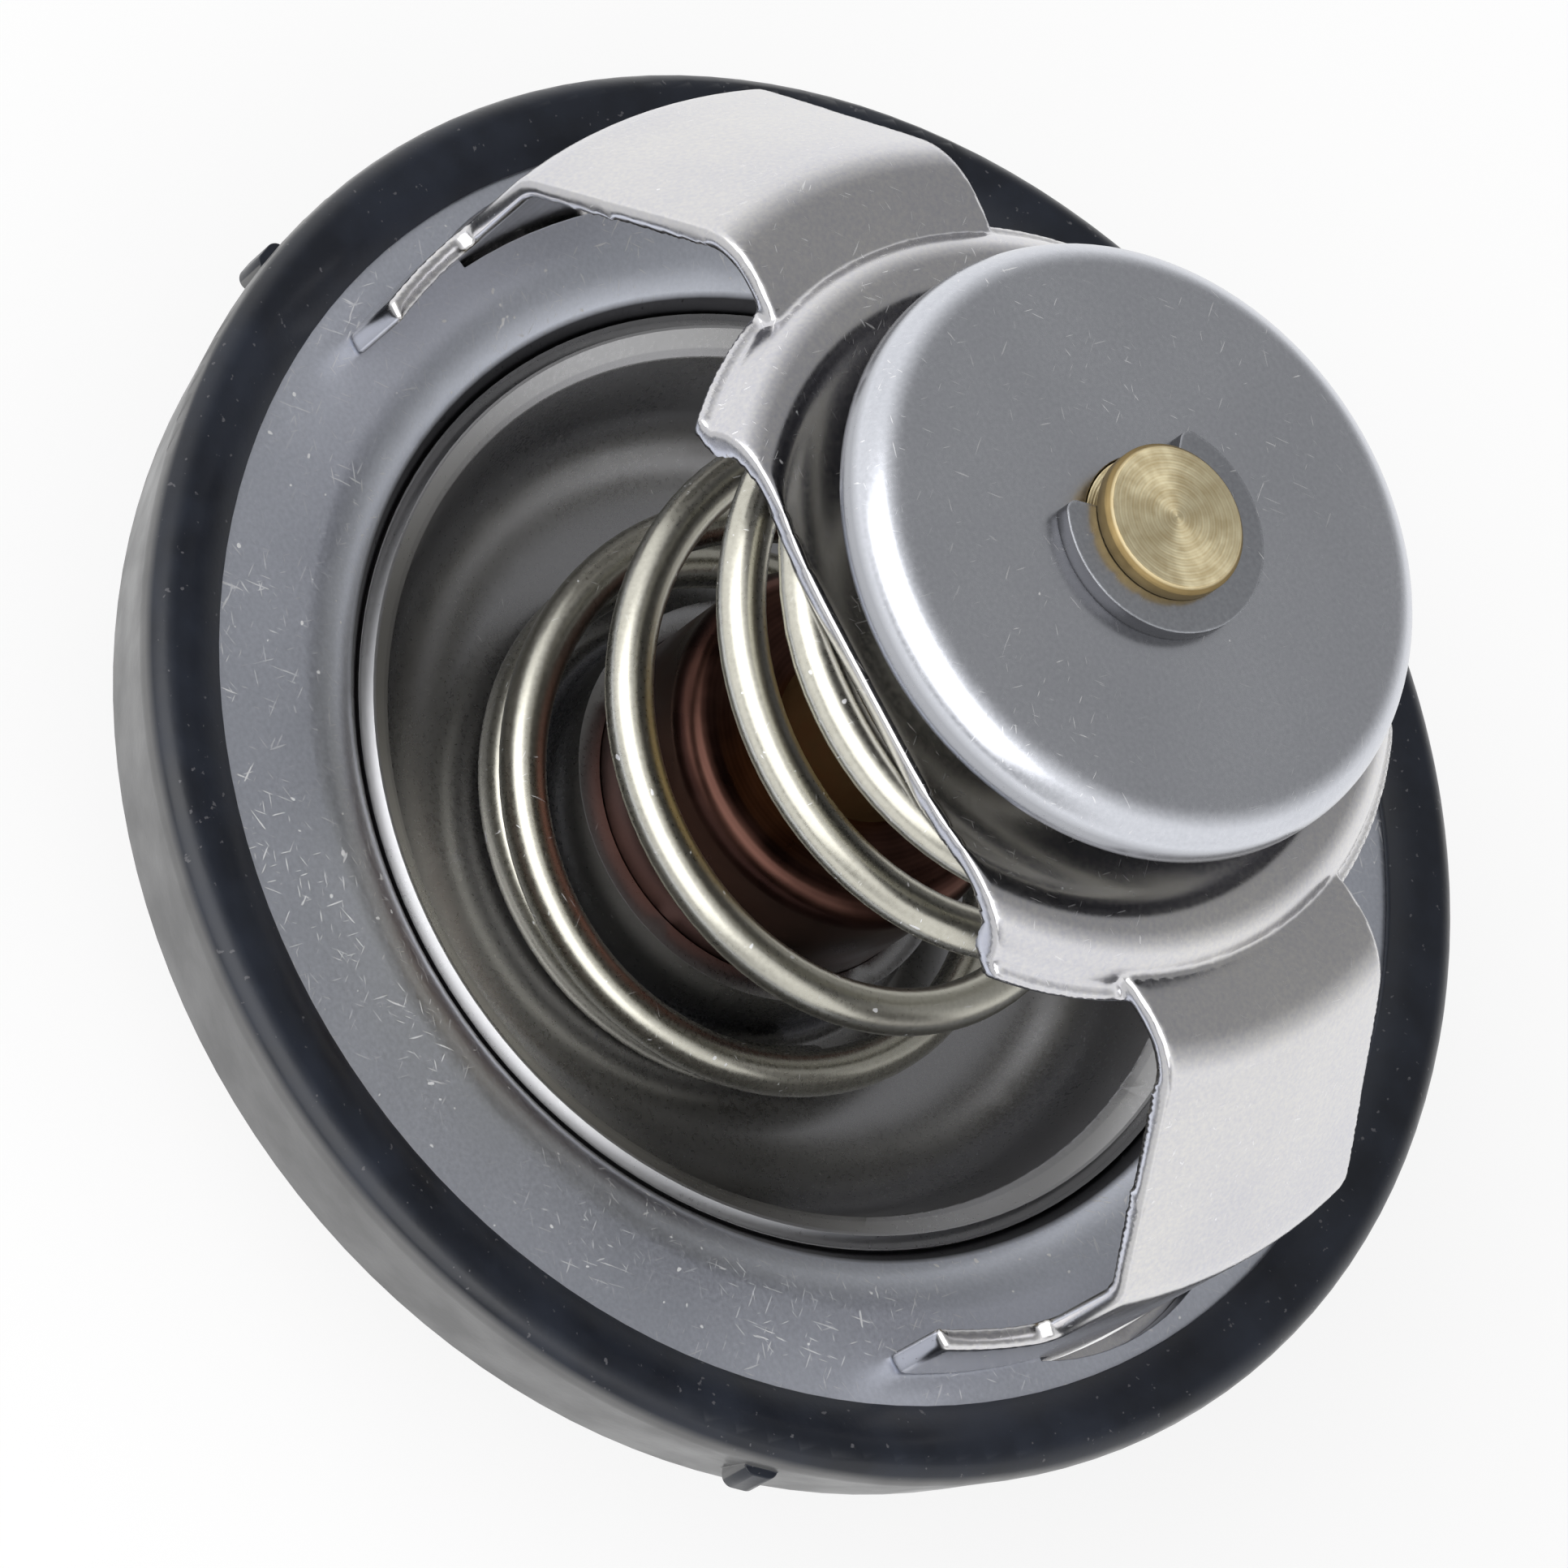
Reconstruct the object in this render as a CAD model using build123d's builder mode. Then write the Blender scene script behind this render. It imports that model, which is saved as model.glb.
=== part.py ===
from build123d import *
from math import asin, cos, degrees, radians, sin, tan
import os

os.makedirs("parts", exist_ok=True)

# Engine thermostat insert: a wax capsule lifts the main valve off a flanged seat
# and pushes a bypass disc on the far side. All lengths are millimetres.
# Z is the axis of travel and opens the valve upwards, X runs through the two legs,
# and Z = 0 is the flange face that the frame stands on.

# Fits shared by several pieces
slide_gap = 0.05  # radial, between a rod and the bore that guides it
nest_gap = 0.04  # radial, between fixed pieces that nest
valve_gap = 0.15  # closed valve lip to the seat

# Flange plate
neck_bore_radius = 20.9
neck_depth = 5.0
seat_roll_radius = 3.8  # flange face rolls over into the neck
flange_width = 5.3  # from the roll to the rim
flange_sheet = 1.2

# Gasket, sized from the flange's rim that it grips
gasket_wall = 2.0  # outside the rim
gasket_taper = 0.9  # the side narrows by this much towards the rear
gasket_front_lap = 1.3  # inside the rim, over the flange face
gasket_rear_lap = 1.5  # inside the rim, behind the flange
gasket_front = 1.0  # bead above the flange face
gasket_rear = 5.0  # rear lip below the flange face
gasket_front_wall = 0.3
bead_inset = 1.1  # crest of the bead, in from the side
bead_edge = -0.4  # where the bead meets the tapered side
bead_corner = 0.25
nub_count = 3
nub_start_angle = -37.0
nub_width = 1.6
nub_length = 2.0
nub_top = -0.9
nub_depth = 1.5
nub_proud = 0.3
nub_corner = 0.5

# Frame
frame_sheet = 0.9
collar_depth = 4.2
collar_lip_radius = 1.2
crown_height = 20.1  # top of the flat dish
crown_border = 5.8  # from the flat dish to the rim
crown_spring_margin = 4.6  # from the spring's centre line to the rim
crown_rise = 0.65
crown_rise_angle = 25.0
crown_shoulder_radius = 2.3
crown_shoulder_drop = 80.0
crown_lip_slope = 20.0
crown_front_cut = 5.8  # flat side of the crown, in from the rim
crown_back_cut = 3.8
leg_inset = 2.7  # outer face of the leg, in from the flange's rim
leg_crest_reach = 1.1  # crest of the leg, out from the crown's rim
leg_crest_drop = 0.3  # and below the dish
leg_crest_radius = 3.5
leg_root_radius = 6.0
leg_root_sweep = 27.0
leg_slope = 54.0
leg_bend_radius = 2.5
leg_top_half_width = 6.1
leg_half_width = 6.6
foot_length = 5.0  # each side of the leg
foot_height = 4.0
foot_web_fillet = 0.8
lug_half_width = 4.4
lug_length = 2.2  # turned in under the bridge
lug_gap = 0.1
slot_inner_gap = 0.3
slot_outer_gap = 0.7  # at the middle of the slot, closing towards its ends

# Bridge behind the flange
bridge_sheet = 1.5
bridge_foot_gap = 0.3  # inside the gasket's rear bore
bridge_half_width = 6.5
bridge_neck_gap = 0.7
bridge_bend_radius = 1.95
bridge_drop = 7.0
bridge_floor = 25.0
bridge_floor_half_length = 7.0
bridge_corner_radius = 3.0
socket_depth = 1.0
socket_wall = 1.3

# Valve disc
valve_sheet = 1.0
valve_overlap = 0.48  # lip's rim outside the neck's bore
valve_top = -1.5
lip_inset = 0.25  # lip's inner edge inside the neck's bore
lip_slope = 42.0
bowl_inset = 1.25
bowl_wall_lean = 16.0
bowl_floor = -9.5
bowl_fillet = 5.0
hub_fillet = 1.0
hub_top = -5.0

# Wax capsule
capsule_radius = 8.2
capsule_wall = 0.7
capsule_top = 2.8
capsule_shoulder = 1.5
capsule_foot_fillet = 0.5
crimp_width = 1.4
crimp_corner = 0.8
crimp_lip_gap = 1.4  # round the guide
edge_break = 0.3  # on pieces that sit in the crimp's inner corners
sleeve_flange = 0.6
guide_flange = 0.8
guide_radius = 6.0
guide_length = 2.7  # below the crimp
sleeve_wall = 1.2
backup_width = 1.6
backup_thickness = 1.0
seal_width = 1.6
seal_thickness = 1.6
seal_fillet = 0.4

# Piston
piston_radius = 2.0
piston_top = -2.0
piston_point = 0.4

# Stem, washer and clip
stem_shank_radius = 3.8
stem_shoulder = 0.55
stem_end = 1.66  # above the bypass disc
stem_chamfer = 0.25
stem_tail_radius = 2.0
rivet_lip = 1.0
rivet_height = 0.7
washer_clearance = 0.8  # above the crown
washer_lap = 0.9  # beyond the bypass spring's centre line
washer_thickness = 0.7
clip_groove_depth = 0.55
clip_lap = 1.38  # beyond the stem
clip_thickness = 0.8
clip_opening = 99.0
clip_angle = 186.0
clip_end_fillet = 0.5

# Bypass disc
bypass_radius = 13.2
bypass_sheet = 0.9
bypass_lift = 6.1  # above the stem's shoulder
bypass_depth = 2.4
bypass_shoulder_radius = 2.0

# Main spring
spring_wire = 2.05
spring_hub_gap = 1.135  # end coil to the valve's hub
spring_draw_in = 1.0  # end coils smaller than the rest by this much
spring_start_angle = -10.0
spring_coil_gap = 0.1  # between the closed coils at the foot
spring_foot_turns = 1.18
spring_active_turns = 2.5
spring_head_turns = 0.67
spring_foot_draw = 0.75  # turns over which the coil draws in to its end radius
spring_head_draw = 0.25

# Bypass spring
bypass_wire = 1.0
bypass_spring_foot_gap = 0.95  # foot coil to the stem
bypass_spring_head_inset = 4.2  # head coil's centre line, in from the disc's rim
bypass_spring_turns = 3.0
bypass_spring_flat_turns = 0.6
bypass_spring_start_angle = 20.0

# Places that follow from the sizes above
roll_centre = neck_bore_radius + seat_roll_radius
flange_radius = roll_centre + flange_width
gasket_radius = flange_radius + gasket_wall
gasket_rear_radius = gasket_radius - gasket_taper
gasket_front_bore = flange_radius - gasket_front_lap
gasket_rear_bore = flange_radius - gasket_rear_lap
bead_radius = gasket_radius - bead_inset

hub_radius = capsule_radius + nest_gap + valve_sheet
lip_inner_radius = neck_bore_radius - lip_inset
bowl_edge_radius = neck_bore_radius - bowl_inset
valve_radius = neck_bore_radius + valve_overlap
valve_underside = bowl_floor - valve_sheet

spring_end_radius = hub_radius + spring_hub_gap + spring_wire / 2
spring_radius = spring_end_radius + spring_draw_in
spring_foot = bowl_floor + spring_wire / 2
spring_head = crown_height - frame_sheet - spring_wire / 2

crown_radius = spring_radius + crown_spring_margin
crown_dish_radius = crown_radius - crown_border
collar_bore = stem_shank_radius + slide_gap
leg_radius = flange_radius - leg_inset
leg_crest_x = crown_radius + leg_crest_reach
leg_crest_height = crown_height - leg_crest_drop
foot_half_width = leg_half_width + foot_length
slot_inner_radius = leg_radius - frame_sheet - slot_inner_gap
slot_end_radius = leg_radius + lug_gap
slot_half_angle = degrees(asin((lug_half_width + lug_gap) / slot_inner_radius))
bridge_foot_radius = gasket_rear_bore - bridge_foot_gap
bridge_inner = neck_bore_radius + flange_sheet + bridge_neck_gap

piston_bore = piston_radius + slide_gap
piston_bottom = -bridge_floor - socket_depth
crimp_radius = capsule_radius + crimp_width
crimp_inner_radius = crimp_radius - capsule_wall
crimp_inner_top = valve_underside - capsule_wall
crimp_lip_radius = guide_radius + crimp_lip_gap
guide_top = crimp_inner_top - sleeve_flange
crimp_bottom = guide_top - guide_flange - capsule_wall
guide_bottom = crimp_bottom - guide_length
backup_radius = piston_radius + backup_width
seal_radius = piston_radius + seal_width
capsule_inner_radius = capsule_radius - capsule_wall
capsule_inner_top = capsule_top - capsule_wall
sleeve_radius = piston_bore + sleeve_wall
sleeve_top = piston_top + slide_gap + sleeve_wall

stem_radius = stem_shank_radius - stem_shoulder
rivet_radius = stem_tail_radius + rivet_lip
washer_seat = crown_height + washer_clearance
bypass_top = washer_seat + bypass_lift
bypass_rim = bypass_top - bypass_depth
stem_top = bypass_top + stem_end
clip_radius = stem_radius + clip_lap
clip_groove_radius = stem_radius - clip_groove_depth
bypass_spring_foot_radius = stem_radius + bypass_spring_foot_gap + bypass_wire / 2
bypass_spring_head_radius = bypass_radius - bypass_spring_head_inset
bypass_spring_foot = washer_seat + washer_thickness + bypass_wire / 2
bypass_spring_head = bypass_top - bypass_sheet - bypass_wire / 2
washer_radius = bypass_spring_foot_radius + washer_lap


def coil_points(turns, height_at, radius_at, start_angle, steps_per_turn=16):
    """Points along a left-handed coil whose height and radius vary with the turn."""
    points = []
    steps = round(turns * steps_per_turn)
    for step in range(steps + 1):
        turn = turns * step / steps
        angle = radians(start_angle - 360 * turn)
        reach = radius_at(turn)
        points.append((reach * cos(angle), reach * sin(angle), height_at(turn)))
    return points


# Flange plate: a flat ring whose inner edge rolls down into a neck
with BuildPart() as flange_plate:
    with BuildSketch(Plane.XZ):
        with BuildLine() as flange_face:
            Line((flange_radius, 0), (roll_centre, 0))
            JernArc((roll_centre, 0), (-1, 0), seat_roll_radius, 90)
            Line((neck_bore_radius, -seat_roll_radius), (neck_bore_radius, -neck_depth))
            offset(amount=flange_sheet, side=Side.LEFT)
        make_face()
    revolve(axis=Axis.Z)
    with BuildSketch(Plane.XY):
        with BuildLine():
            inner_edge = CenterArc((0, 0), slot_inner_radius, -slot_half_angle, 2 * slot_half_angle)
            end_reach = slot_end_radius * cos(radians(slot_half_angle))
            end_width = slot_end_radius * sin(radians(slot_half_angle))
            outer_edge = ThreePointArc((end_reach, -end_width), (leg_radius + slot_outer_gap, 0),
                                       (end_reach, end_width))
            Line(inner_edge @ 0, outer_edge @ 0)
            Line(inner_edge @ 1, outer_edge @ 1)
        make_face()
        mirror(about=Plane.YZ)
    extrude(amount=-flange_sheet, mode=Mode.SUBTRACT)
flange_plate.part.label = "flange_plate"
export_step(flange_plate.part, "parts/flange_plate.step")

# Gasket: a moulded ring that grips the rim of the flange
with BuildPart() as gasket:
    with BuildSketch(Plane.XZ):
        with BuildLine():
            ThreePointArc(
                (gasket_front_bore, gasket_front_wall),
                ((gasket_front_bore + bead_radius) / 2, gasket_front * 0.83),
                (bead_radius, gasket_front),
            )
            ThreePointArc(
                (bead_radius, gasket_front),
                (gasket_radius - bead_corner, gasket_front * 0.55),
                (gasket_radius, bead_edge),
            )
            Polyline(
                (gasket_radius, bead_edge),
                (gasket_rear_radius, -gasket_rear),
                (gasket_rear_bore, -gasket_rear),
                (gasket_rear_bore, -flange_sheet),
                (flange_radius + nest_gap, -flange_sheet),
                (flange_radius + nest_gap, 0),
                (gasket_front_bore, 0),
                (gasket_front_bore, gasket_front_wall),
            )
        make_face()
    revolve(axis=Axis.Z)
    with BuildSketch(Plane.XY.offset(nub_top)):
        with PolarLocations(gasket_radius + nub_proud - nub_depth / 2, nub_count, nub_start_angle):
            RectangleRounded(nub_depth, nub_width, nub_corner)
    extrude(amount=-nub_length)
gasket.part.label = "gasket"
export_step(gasket.part, "parts/gasket.step")


# Frame: one pressing, a dished crown on two legs whose lugs are turned in under the bridge
with BuildPart() as frame:
    with BuildSketch(Plane.XZ):
        with BuildLine():
            crest = JernArc((leg_crest_x, leg_crest_height), (1, 0), leg_crest_radius, -leg_slope)
            JernArc((leg_crest_x, leg_crest_height), (-1, 0), leg_root_radius, leg_root_sweep)
            slope_reach = leg_radius - leg_bend_radius * (1 - cos(radians(90 - leg_slope)))
            slope_drop = (slope_reach - (crest @ 1).X) * tan(radians(leg_slope))
            slope = Line(crest @ 1, (slope_reach, (crest @ 1).Y - slope_drop))
            knee = JernArc(slope @ 1, slope % 1, leg_bend_radius, leg_slope - 90)
            lug_bottom = -flange_sheet - bridge_sheet - frame_sheet
            lug_bend = frame_sheet + lug_gap
            shin = Line(knee @ 1, (leg_radius, lug_bottom + lug_bend))
            turn_in = JernArc(shin @ 1, (0, -1), lug_bend, -90)
            Line(turn_in @ 1, (leg_radius - lug_length, lug_bottom))
            offset(amount=frame_sheet, side=Side.RIGHT)
        make_face()
    revolve(axis=Axis.Z)
    with BuildSketch(Plane.YZ) as leg_outline:
        with BuildLine():
            FilletPolyline(
                (leg_top_half_width, leg_crest_height + 1),
                (leg_half_width, (knee @ 0).Y),
                (leg_half_width, foot_height),
                (foot_half_width, foot_height),
                radius=foot_web_fillet,
            )
            Polyline(
                (foot_half_width, foot_height),
                (foot_half_width, 0),
                (lug_half_width, 0),
                (lug_half_width, lug_bottom - 1),
                (0, lug_bottom - 1),
                (0, leg_crest_height + 1),
                (leg_top_half_width, leg_crest_height + 1),
            )
        make_face()
        mirror(about=Plane.YZ)
    extrude(amount=leg_radius + 1, both=True, mode=Mode.INTERSECT)

    with BuildSketch(Plane.XZ):
        with BuildLine():
            collar_foot = crown_height - collar_depth
            collar = Line((collar_bore, collar_foot), (collar_bore, crown_height - collar_lip_radius))
            collar_lip = JernArc(collar @ 1, (0, 1), collar_lip_radius, -90)
            dish = Line(collar_lip @ 1, (crown_dish_radius, crown_height))
            rise_radius = crown_rise / (1 - cos(radians(crown_rise_angle))) - crown_shoulder_radius
            rise = JernArc(dish @ 1, (1, 0), rise_radius, crown_rise_angle)
            shoulder = JernArc(rise @ 1, rise % 1, crown_shoulder_radius,
                               -crown_rise_angle - crown_shoulder_drop)
            lip_reach = crown_radius - (shoulder @ 1).X
            Line(shoulder @ 1, (crown_radius,
                                (shoulder @ 1).Y - lip_reach * tan(radians(crown_lip_slope))))
            offset(amount=frame_sheet, side=Side.RIGHT)
        make_face()
    revolve(axis=Axis.Z)
    with BuildSketch(Plane.XY.offset(leg_crest_height - leg_crest_radius)):
        with Locations((0, crown_front_cut - crown_radius)):
            Rectangle(2 * crown_radius, crown_radius, align=(Align.CENTER, Align.MAX))
        with Locations((0, crown_radius - crown_back_cut)):
            Rectangle(2 * crown_radius, crown_radius, align=(Align.CENTER, Align.MIN))
    extrude(amount=leg_crest_radius + crown_rise + frame_sheet, mode=Mode.SUBTRACT)
frame.part.label = "frame"
export_step(frame.part, "parts/frame.step")


# Bridge: a strap behind the flange whose floor holds the piston in a pressed socket
with BuildPart() as bridge:
    with BuildSketch(Plane.XZ):
        with BuildLine():
            foot = Line((bridge_foot_radius, -flange_sheet),
                        (bridge_inner + bridge_bend_radius, -flange_sheet))
            bend = JernArc(foot @ 1, (-1, 0), bridge_bend_radius, 90)
            FilletPolyline(
                bend @ 1,
                (bridge_inner, -bridge_drop),
                (bridge_floor_half_length, -bridge_floor),
                (0, -bridge_floor),
                radius=bridge_corner_radius,
            )
            offset(amount=bridge_sheet, side=Side.LEFT)
        make_face()
        mirror(about=Plane.YZ)
    extrude(amount=bridge_half_width, both=True)
    with BuildSketch(Plane.XY.offset(-bridge_floor - bridge_sheet)):
        Circle(bridge_foot_radius)
    extrude(amount=bridge_floor + bridge_sheet, mode=Mode.INTERSECT)
    with BuildSketch(Plane.XY.offset(-bridge_floor)):
        Circle(piston_bore + socket_wall)
    extrude(amount=-socket_depth - socket_wall)
    with BuildSketch(Plane.XY.offset(-bridge_floor)):
        Circle(piston_bore)
    extrude(amount=-socket_depth, mode=Mode.SUBTRACT)
    with BuildSketch(Plane.XY.offset(-flange_sheet)):
        with BuildLine():
            for leg_angle in (0, 180):
                CenterArc((0, 0), (slot_inner_radius + slot_end_radius) / 2,
                          leg_angle - slot_half_angle, 2 * slot_half_angle)
        trace(line_width=slot_end_radius - slot_inner_radius)
    extrude(amount=-bridge_sheet, mode=Mode.SUBTRACT)
bridge.part.label = "bridge"
export_step(bridge.part, "parts/bridge.step")


# Valve disc: a deep dish whose lip is coined to the roll of the seat
with BuildPart() as valve_disc:
    with BuildSketch(Plane.XZ):
        with BuildLine():
            lip_end = neck_bore_radius + valve_sheet
            lip_foot = valve_top - (lip_inner_radius - bowl_edge_radius) * tan(radians(lip_slope))
            wall_run = (lip_foot - bowl_floor) * tan(radians(bowl_wall_lean))
            dish_line = FilletPolyline(
                (hub_radius, hub_top),
                (hub_radius, bowl_floor),
                (bowl_edge_radius - wall_run, bowl_floor),
                (bowl_edge_radius, lip_foot),
                (lip_end, lip_foot + (lip_end - bowl_edge_radius) * tan(radians(lip_slope))),
                radius=(hub_fillet, bowl_fillet, 0.3),
            )
            offset(amount=valve_sheet, side=Side.RIGHT)
        make_face()
        with Locations((roll_centre, -seat_roll_radius)):
            Circle(seat_roll_radius + valve_gap, mode=Mode.SUBTRACT)
        with Locations((lip_end, valve_top)):
            Rectangle(2 * (lip_end - lip_inner_radius) + valve_sheet, 2 * valve_sheet,
                      align=(Align.CENTER, Align.MIN), mode=Mode.SUBTRACT)
        with Locations((valve_radius, valve_top)):
            Rectangle(valve_sheet, 2 * valve_sheet, align=(Align.MIN, Align.CENTER), mode=Mode.SUBTRACT)
    revolve(axis=Axis.Z)
valve_disc.part.label = "valve_disc"
export_step(valve_disc.part, "parts/valve_disc.step")


# Capsule cup: drawn copper, flanged under the valve and crimped over the guide
with BuildPart() as capsule_cup:
    with BuildSketch(Plane.XZ):
        with BuildLine():
            FilletPolyline(
                (stem_tail_radius + nest_gap, capsule_top),
                (capsule_radius, capsule_top),
                (capsule_radius, valve_underside),
                (crimp_radius, valve_underside),
                (crimp_radius, crimp_bottom),
                (crimp_lip_radius, crimp_bottom),
                radius=(capsule_shoulder, capsule_foot_fillet, crimp_corner, crimp_corner),
            )
            offset(amount=capsule_wall, side=Side.RIGHT)
        make_face()
    revolve(axis=Axis.Z)
capsule_cup.part.label = "capsule_cup"
export_step(capsule_cup.part, "parts/capsule_cup.step")


# Wax charge: fills the cup around the sleeve
with BuildPart() as wax_charge:
    wax_top = capsule_inner_top - rivet_height - nest_gap
    with BuildSketch(Plane.XY.offset(crimp_inner_top + nest_gap)):
        Circle(capsule_inner_radius - nest_gap)
        Circle(sleeve_radius + nest_gap, mode=Mode.SUBTRACT)
    extrude(amount=sleeve_top - crimp_inner_top)
    with BuildSketch(Plane.XY.offset(sleeve_top + nest_gap)):
        Circle(capsule_inner_radius - nest_gap)
    extrude(amount=wax_top - sleeve_top - nest_gap)
    fillet(wax_charge.edges().group_by(Axis.Z)[-1], capsule_shoulder - capsule_wall)
wax_charge.part.label = "wax_charge"
export_step(wax_charge.part, "parts/wax_charge.step")


# Rubber sleeve: a closed finger round the piston, clamped by its flange
with BuildPart() as rubber_sleeve:
    with BuildSketch(Plane.XY.offset(guide_top)):
        Circle(crimp_inner_radius - nest_gap)
    extrude(amount=sleeve_flange)
    chamfer(rubber_sleeve.edges().group_by(Axis.Z)[-1], edge_break)
    with BuildSketch(Plane.XY.offset(guide_top)):
        Circle(sleeve_radius)
    extrude(amount=sleeve_top - guide_top)
    fillet(rubber_sleeve.edges().group_by(Axis.Z)[-1], sleeve_wall / 2)
    with BuildSketch(Plane.XY.offset(guide_top)):
        Circle(piston_bore)
    extrude(amount=piston_top + slide_gap - guide_top, mode=Mode.SUBTRACT)
rubber_sleeve.part.label = "rubber_sleeve"
export_step(rubber_sleeve.part, "parts/rubber_sleeve.step")


# Capsule guide: turned brass, bored for the piston with a pocket at each end
with BuildPart() as capsule_guide:
    with BuildSketch(Plane.XY.offset(guide_top)):
        Circle(crimp_inner_radius - nest_gap)
    extrude(amount=-guide_flange)
    chamfer(capsule_guide.edges().group_by(Axis.Z)[0], edge_break)
    with BuildSketch(Plane.XY.offset(guide_top)):
        Circle(guide_radius)
    extrude(amount=guide_bottom - guide_top)
    chamfer(capsule_guide.edges().group_by(Axis.Z)[0], edge_break)
    with BuildSketch(Plane.XY.offset(guide_top)):
        Circle(piston_bore)
    extrude(amount=guide_bottom - guide_top, mode=Mode.SUBTRACT)
    with BuildSketch(Plane.XY.offset(guide_top)):
        Circle(backup_radius)
    extrude(amount=-backup_thickness, mode=Mode.SUBTRACT)
    with BuildSketch(Plane.XY.offset(guide_bottom)):
        Circle(seal_radius)
    extrude(amount=seal_thickness, mode=Mode.SUBTRACT)
capsule_guide.part.label = "capsule_guide"
export_step(capsule_guide.part, "parts/capsule_guide.step")


# Backup washer: keeps the sleeve out of the guide's bore
with BuildPart() as backup_washer:
    with BuildSketch(Plane.XY.offset(guide_top)):
        Circle(backup_radius - nest_gap)
        Circle(piston_bore, mode=Mode.SUBTRACT)
    extrude(amount=-backup_thickness)
backup_washer.part.label = "backup_washer"
export_step(backup_washer.part, "parts/backup_washer.step")


# Guide seal: wipes the piston at the mouth of the guide
with BuildPart() as guide_seal:
    with BuildSketch(Plane.XY.offset(guide_bottom)):
        Circle(seal_radius - nest_gap)
        Circle(piston_bore, mode=Mode.SUBTRACT)
    extrude(amount=seal_thickness)
    fillet(guide_seal.edges().group_by(Axis.Z)[0], seal_fillet)
guide_seal.part.label = "guide_seal"
export_step(guide_seal.part, "parts/guide_seal.step")


# Piston: stands in the bridge's socket while the capsule climbs along it
with BuildPart() as piston:
    with BuildSketch(Plane.XY.offset(piston_bottom)):
        Circle(piston_radius)
    extrude(amount=piston_top - piston_bottom)
    chamfer(piston.edges().filter_by(GeomType.CIRCLE), piston_point)
piston.part.label = "piston"
export_step(piston.part, "parts/piston.step")


# Stem: turned brass, riveted into the capsule, with a shoulder and a clip groove
with BuildPart() as stem:
    with BuildSketch(Plane.XZ):
        with BuildLine():
            Polyline(
                (0, capsule_inner_top - rivet_height),
                (rivet_radius, capsule_inner_top - rivet_height),
                (rivet_radius, capsule_inner_top),
                (stem_tail_radius, capsule_inner_top),
                (stem_tail_radius, capsule_top),
                (stem_shank_radius, capsule_top),
                (stem_shank_radius, washer_seat),
                (stem_radius, washer_seat),
                (stem_radius, bypass_top),
                (clip_groove_radius, bypass_top),
                (clip_groove_radius, bypass_top + clip_thickness + nest_gap),
                (stem_radius, bypass_top + clip_thickness + nest_gap),
                (stem_radius, stem_top - stem_chamfer),
                (stem_radius - stem_chamfer, stem_top),
                (0, stem_top),
                close=True,
            )
        make_face()
    revolve(axis=Axis.Z)
stem.part.label = "stem"
export_step(stem.part, "parts/stem.step")


# Spring washer: rests on the stem's shoulder under the bypass spring
with BuildPart() as spring_washer:
    with BuildSketch(Plane.XY.offset(washer_seat)):
        Circle(washer_radius)
        Circle(stem_radius + nest_gap, mode=Mode.SUBTRACT)
    extrude(amount=washer_thickness)
spring_washer.part.label = "spring_washer"
export_step(spring_washer.part, "parts/spring_washer.step")


# Stem clip: a horseshoe pushed into the groove above the bypass disc
with BuildPart() as stem_clip:
    clip_bore = clip_groove_radius + slide_gap
    with BuildSketch(Plane.XY.offset(bypass_top)):
        with BuildLine():
            CenterArc((0, 0), (clip_bore + clip_radius) / 2,
                      clip_angle + clip_opening / 2, 360 - clip_opening)
        trace(line_width=clip_radius - clip_bore)
    extrude(amount=clip_thickness)
    fillet(stem_clip.edges().filter_by(Axis.Z), clip_end_fillet)
stem_clip.part.label = "stem_clip"
export_step(stem_clip.part, "parts/stem_clip.step")


# Bypass disc: a shallow drawn cap that slides on the stem
with BuildPart() as bypass_disc:
    with BuildSketch(Plane.XZ):
        with BuildLine():
            FilletPolyline(
                (stem_radius + slide_gap, bypass_top),
                (bypass_radius, bypass_top),
                (bypass_radius, bypass_rim),
                radius=bypass_shoulder_radius,
            )
            offset(amount=bypass_sheet, side=Side.RIGHT)
        make_face()
    revolve(axis=Axis.Z)
bypass_disc.part.label = "bypass_disc"
export_step(bypass_disc.part, "parts/bypass_disc.step")


# Main spring: left-handed, closed at the foot, with both end coils drawn in
with BuildPart() as main_spring:
    foot_rise = (spring_wire + spring_coil_gap) * spring_foot_turns
    active_rise = spring_head - spring_foot - foot_rise
    spring_turns = spring_foot_turns + spring_active_turns + spring_head_turns

    def spring_height(turn):
        """Slow climb through the foot coil, fast climb to the head coil, which lies flat."""
        foot_share = min(turn / spring_foot_turns, 1)
        active_share = min(max((turn - spring_foot_turns) / spring_active_turns, 0), 1)
        return spring_foot + foot_rise * foot_share + active_rise * active_share

    def spring_reach(turn):
        """Full radius between the ends, less towards each of them."""
        share = min(turn / spring_foot_draw, (spring_turns - turn) / spring_head_draw, 1)
        return spring_end_radius + (spring_radius - spring_end_radius) * share

    with BuildLine() as spring_line:
        Spline(*coil_points(spring_turns, spring_height, spring_reach, spring_start_angle))
    with BuildSketch(Plane(origin=spring_line.line @ 0, z_dir=spring_line.line % 0)):
        Circle(spring_wire / 2)
    sweep(is_frenet=True)
main_spring.part.label = "main_spring"
export_step(main_spring.part, "parts/main_spring.step")


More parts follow.
